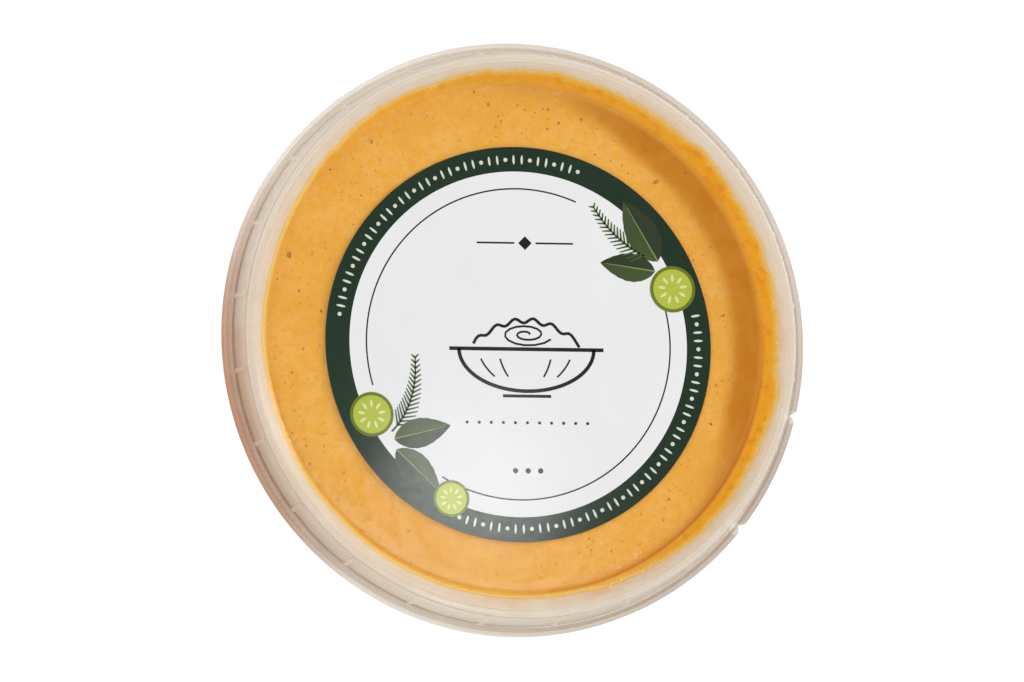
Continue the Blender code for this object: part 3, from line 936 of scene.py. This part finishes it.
def make_label(materials):
    steps = 360
    radii = [0.010, 0.022, LINE_RADIUS - LINE_WIDTH / 2, LINE_RADIUS + LINE_WIDTH / 2,
             BAND_INNER_RADIUS, 0.0388, LABEL_RADIUS - 0.00004]
    kinds = [PAPER, PAPER, PAPER, LINE, PAPER, GREEN, GREEN]
    top = LABEL_Z + LABEL_THICK
    section = [(0, top), *((r, top) for r in radii), (LABEL_RADIUS, top - 0.00004), (LABEL_RADIUS, LABEL_Z),
               (0.02, LABEL_Z), (0, LABEL_Z)]
    angles = np.arange(steps) * math.tau / steps
    points, faces = ring_mesh([section] * steps, angles)
    points[:, 0] += LABEL_CENTRE[0]
    points[:, 1] += LABEL_CENTRE[1]
    per_step = kinds + [GREEN, PAPER, PAPER, PAPER]
    face_kinds = []
    for step in range(steps):
        turn = step * 360 / steps
        open_line = any(low <= turn <= high for low, high in LINE_GAPS)
        face_kinds += [PAPER if kind == LINE and open_line else kind for kind in per_step]
    obj = mesh_object("label_disc", points, faces, materials, face_kinds)
    return piece(obj, "label_paper", "label")



class Print:
    """Flat printed shapes in one mesh, standing just proud of the label's paper."""

    def __init__(self, name, material, level=1):
        self.name = name
        self.material = material
        self.low = LABEL_Z + LABEL_THICK - 0.00001
        self.high = LABEL_Z + LABEL_THICK + 0.00002 * level
        self.points = []
        self.faces = []

    def shape(self, outline):
        """One filled outline of points in millimetres from the label's middle, anticlockwise."""
        base, count = len(self.points), len(outline)
        for height in (self.low, self.high):
            for x, y in outline:
                self.points.append((x * MM + LABEL_CENTRE[0], y * MM + LABEL_CENTRE[1], height))
        self.faces.append(tuple(range(base + count, base + 2 * count)))
        self.faces.append(tuple(reversed(range(base, base + count))))
        for i in range(count):
            after = (i + 1) % count
            self.faces.append((base + i, base + after, base + count + after, base + count + i))

    def stroke(self, line, width, taper=1.0):
        """A line of points drawn with this width, narrowing to taper times it at the far end."""
        line = np.asarray(line, float)
        ahead = np.gradient(line, axis=0)
        ahead /= np.linalg.norm(ahead, axis=1)[:, None]
        side = np.stack([-ahead[:, 1], ahead[:, 0]], 1)
        widths = np.linspace(width, width * taper, len(line))[:, None] / 2
        left, right = line + side * widths, line - side * widths
        self.shape([*map(tuple, right), *map(tuple, left[::-1])])

    def make(self):
        obj = mesh_object(self.name, self.points, self.faces, [self.material], sharp_deg=20)
        return piece(obj, "label_paper")


def oval(middle, half_wide, half_high, turn_deg=0.0, count=28):
    turn = math.radians(turn_deg)
    found = []
    for i in range(count):
        t = i * math.tau / count
        x, y = half_wide * math.cos(t), half_high * math.sin(t)
        found.append((middle[0] + x * math.cos(turn) - y * math.sin(turn),
                      middle[1] + x * math.sin(turn) + y * math.cos(turn)))
    return found


def curve(start, bend, end, count=14):
    """Points of a simple bent line."""
    found = []
    for i in range(count):
        t = i / (count - 1)
        found.append(tuple((1 - t) ** 2 * a + 2 * t * (1 - t) * b + t * t * c
                           for a, b, c in zip(start, bend, end)))
    return found


def leaf_half(root, length, width, turn_deg, side):
    """Half of a broad leaf with a gently toothed edge, from its root to its tip."""
    turn = math.radians(turn_deg)
    rim = []
    for i in range(25):
        t = i / 24
        swell = math.sin(math.pi * t ** 0.8) ** 0.85 * width / 2
        tooth = 0.12 * abs(math.sin(7 * math.pi * t)) * math.sin(math.pi * t)
        rim.append((t * length, side * (swell + tooth)))
    if side > 0:
        rim = rim[::-1]
    return [(root[0] + x * math.cos(turn) - y * math.sin(turn),
             root[1] + x * math.sin(turn) + y * math.cos(turn)) for x, y in rim]


LEAVES = (((29.2, 17.2), 14.0, 6.6, 120), ((28.6, 15.2), 11.5, 5.6, 172),
          ((-26.0, -19.5), 12.0, 5.8, 14), ((-25.6, -21.6), 12.5, 6.0, -44))
SLICES = (((32.2, 11.6), 4.7), ((-30.6, -14.6), 4.5), ((-14.4, -31.4), 3.7))
SPRIGS = (((28.0, 17.6), (20.5, 20.5), (16.0, 28.0)), ((-26.5, -18.0), (-21.0, -12.5), (-21.5, -3.0)))


def make_motifs():
    dark = Print("label_leaves_dark", print_material("ink_leaf_dark", (38, 50, 30), (55, 70, 38)), 1)
    light = Print("label_leaves_light", print_material("ink_leaf", (58, 74, 42), (78, 94, 50)), 1)
    vein = Print("label_veins", print_material("ink_vein", (120, 140, 80), (140, 160, 95)), 3)
    for root, length, width, turn in LEAVES:
        dark.shape(leaf_half(root, length, width, turn, -1))
        light.shape(leaf_half(root, length, width, turn, 1))
        t = math.radians(turn)
        tip = (root[0] + 0.9 * length * math.cos(t), root[1] + 0.9 * length * math.sin(t))
        vein.stroke([root, ((root[0] + tip[0]) / 2, (root[1] + tip[1]) / 2), tip], 0.30, 0.4)
    fern = Print("label_sprigs", print_material("ink_sprig", (62, 84, 38), (80, 102, 50)), 2)
    for start, bend, end in SPRIGS:
        line = curve(start, bend, end, 18)
        fern.stroke(line, 0.42, 0.6)
        for i in range(2, 18):
            here, back = line[i], line[i - 1]
            ahead = math.degrees(math.atan2(here[1] - back[1], here[0] - back[0]))
            size = 3.4 * (1 - i / 24)
            for side in (-1, 1):
                t = math.radians(ahead + side * 48)
                tip = (here[0] + size * math.cos(t), here[1] + size * math.sin(t))
                fern.stroke([here, ((here[0] + tip[0]) / 2, (here[1] + tip[1]) / 2), tip], 0.42, 0.5)
    rind = Print("label_slice_rind", print_material("ink_rind", (96, 112, 18), (118, 134, 24)), 4)
    flesh = Print("label_slice_flesh", print_material("ink_flesh", (172, 184, 60), (188, 198, 84)), 5)
    seed = Print("label_slice_seeds", print_material("ink_seed", (214, 218, 150), (226, 230, 170)), 6)
    for middle, radius in SLICES:
        rind.shape(oval(middle, radius, radius, count=48))
        flesh.shape(oval(middle, radius * 0.86, radius * 0.86, count=48))
        for i in range(9):
            turn = i * 40 + 12
            t = math.radians(turn)
            out = radius * 0.48
            place = (middle[0] + out * math.cos(t), middle[1] + out * math.sin(t))
            seed.shape(oval(place, radius * 0.17, radius * 0.065, turn, 12))
    return [p.make() for p in (dark, light, vein, fern, rind, flesh, seed)]


def make_emblem(ink):
    """A plain line drawing of a bowl of dip in the label's middle, with small plain ornaments."""
    art = Print("label_emblem", ink, 1)
    middle = (1.6, -1.0)
    half, deep = 14.0, 8.5
    turns = [math.pi + math.pi * i / 36 for i in range(37)]
    bowl = [(middle[0] + half * math.cos(t), middle[1] + deep * math.sin(t)) for t in turns]
    art.stroke(bowl, 0.75)
    art.stroke([(middle[0] - half - 2, middle[1]), middle, (middle[0] + half + 2, middle[1])], 0.75)
    art.stroke([(middle[0] - 5, middle[1] - deep - 1.0), (middle[0], middle[1] - deep - 1.0),
                (middle[0] + 5, middle[1] - deep - 1.0)], 0.6)
    heap = [(middle[0] - 11 + 22 * i / 40,
             middle[1] + 1.0 + 4.8 * math.sin(math.pi * i / 40) ** 0.8 + 0.5 * math.sin(i * 0.9))
            for i in range(41)]
    art.stroke(heap, 0.6)
    swirl = [(middle[0] + (0.6 + 0.17 * i) * math.cos(i * 0.42),
              middle[1] + 3.0 + (0.25 + 0.075 * i) * math.sin(i * 0.42)) for i in range(30)]
    art.stroke(swirl, 0.42)
    for offset in (-9.5, -5.5, 5.0, 9.0):
        art.stroke(curve((middle[0] + offset, middle[1] - 2.0), (middle[0] + offset * 0.9, middle[1] - 4.0),
                         (middle[0] + offset * 0.7, middle[1] - 5.6), 8), 0.36)
    for side in (-1, 1):
        art.stroke([(middle[0] + side * 2.2, 20.5), (middle[0] + side * 6, 20.5), (middle[0] + side * 10, 20.5)], 0.35)
    art.shape([(middle[0] + 1.4, 20.5), (middle[0], 21.9), (middle[0] - 1.4, 20.5), (middle[0], 19.1)])
    for i in range(11):
        art.shape(oval((middle[0] - 12.5 + 2.5 * i, -15.9), 0.32, 0.32, count=12))
    for i in range(3):
        art.shape(oval((middle[0] - 2.6 + 2.6 * i, -25.6), 0.55, 0.55, count=16))
    return art.make()


def make_band_marks(ink):
    """Small pale dots and dashes along the green band."""
    art = Print("label_band_marks", ink, 1)
    radius = 37.4
    for low, high in ((70, 172), (250, 372)):
        turn = low
        index = 0
        while turn < high:
            t = math.radians(turn)
            middle = (radius * math.cos(t), radius * math.sin(t))
            if index % 3 == 0:
                art.shape(oval(middle, 0.42, 0.42, count=14))
            else:
                art.shape(oval(middle, 0.95, 0.24, turn, 16))
            turn += 2.6
            index += 1
    return art.make()


def make_labels():
    paper = print_material("label_paper", (235, 236, 238), (227, 229, 231), 0.6, 0.10)
    line = print_material("ink_line", (20, 28, 24), (34, 42, 38))
    green = print_material("ink_green", (16, 40, 22), (24, 50, 30), 0.8)
    black = print_material("ink_black", (12, 12, 10), (24, 24, 22))
    cream = print_material("ink_cream", (214, 222, 208), (196, 206, 190))
    return [make_label([paper, line, green]), *make_motifs(), make_emblem(black), make_band_marks(cream)]


# Light, floor and camera

def area_light(name, azimuth_deg, elevation_deg, distance, size, power, colour=(1, 1, 1), aim=(0, 0, 0.033)):
    light = bpy.data.lights.new(name, "AREA")
    light.shape = "DISK"
    light.size = size
    light.energy = power
    light.color = colour
    obj = bpy.data.objects.new(name, light)
    azimuth, elevation = math.radians(azimuth_deg), math.radians(elevation_deg)
    out = Vector((math.cos(azimuth) * math.cos(elevation), math.sin(azimuth) * math.cos(elevation),
                  math.sin(elevation)))
    obj.location = Vector(aim) + out * distance
    obj.rotation_euler = out.to_track_quat("Z", "Y").to_euler()
    bpy.context.scene.collection.objects.link(obj)
    return obj


def view_basis():
    """The camera's turn: straight down with +Y up in the picture, then tilted towards the near side."""
    axis = Vector((math.cos(VIEW_SIDE - math.pi / 2), math.sin(VIEW_SIDE - math.pi / 2), 0))
    return Matrix.Rotation(-VIEW_TILT, 3, axis)


def make_camera():
    data = bpy.data.cameras.new("camera")
    data.sensor_width = SENSOR
    data.lens = SENSOR * VIEW_DISTANCE / VIEW_WIDTH
    data.clip_start = 0.1
    camera = bpy.data.objects.new("camera", data)
    turn = view_basis()
    camera.rotation_euler = turn.to_euler()
    camera.location = Vector(VIEW_TARGET) + turn @ Vector((0, 0, VIEW_DISTANCE))
    bpy.context.scene.collection.objects.link(camera)
    bpy.context.scene.camera = camera
    return camera


def floor_material():
    n = Nodes("floor")
    soft = n.ramp(n.noise(6, 2), 0.3, 0.7)
    colour = n.mix(soft, (0.985, 0.985, 0.985, 1), (1.0, 1.0, 1.0, 1))
    glow = n.add("Emission", Strength=1.08)
    n.put(glow.inputs["Color"], colour)
    flat = n.add("BsdfDiffuse", Color=colour)
    both = n.add("MixShader")
    n.put(both.inputs[0], 0.08)
    n.put(both.inputs[1], glow.outputs[0])
    n.put(both.inputs[2], flat.outputs[0])
    return n.finish(both.outputs[0])


def make_stage():
    half = 3.0
    points = [(-half, -half, -0.0002), (half, -half, -0.0002), (half, half, -0.0002), (-half, half, -0.0002)]
    floor = mesh_object("floor", points, [(0, 1, 2, 3)], [floor_material()])
    world = bpy.data.worlds.new("soft_room")
    world.use_nodes = True
    world.node_tree.nodes["Background"].inputs["Color"].default_value = (1.0, 0.99, 0.98, 1)
    world.node_tree.nodes["Background"].inputs["Strength"].default_value = 0.69
    bpy.context.scene.world = world
    area_light("key", 22, 22, 0.9, 0.22, 3.2, (1.0, 0.99, 0.975))
    fill = area_light("fill", 205, 40, 1.0, 0.5, 1.6, (1.0, 0.985, 0.97))
    fill.visible_glossy = False
    for azimuth in (105, 250):
        side = area_light(f"side_{azimuth}", azimuth, 30, 1.0, 0.5, 0.75)
        side.visible_glossy = False
    area_light("sheen", 25, 74.4, 0.8, 0.045, 0.060, aim=(-0.0125, -0.0400, LABEL_Z))
    scene = bpy.context.scene
    scene.view_settings.view_transform = "Standard"
    scene.cycles.transparent_max_bounces = 40


make_tub()
make_lid()
make_dip()
make_flecks()
make_labels()
make_stage()
make_camera()
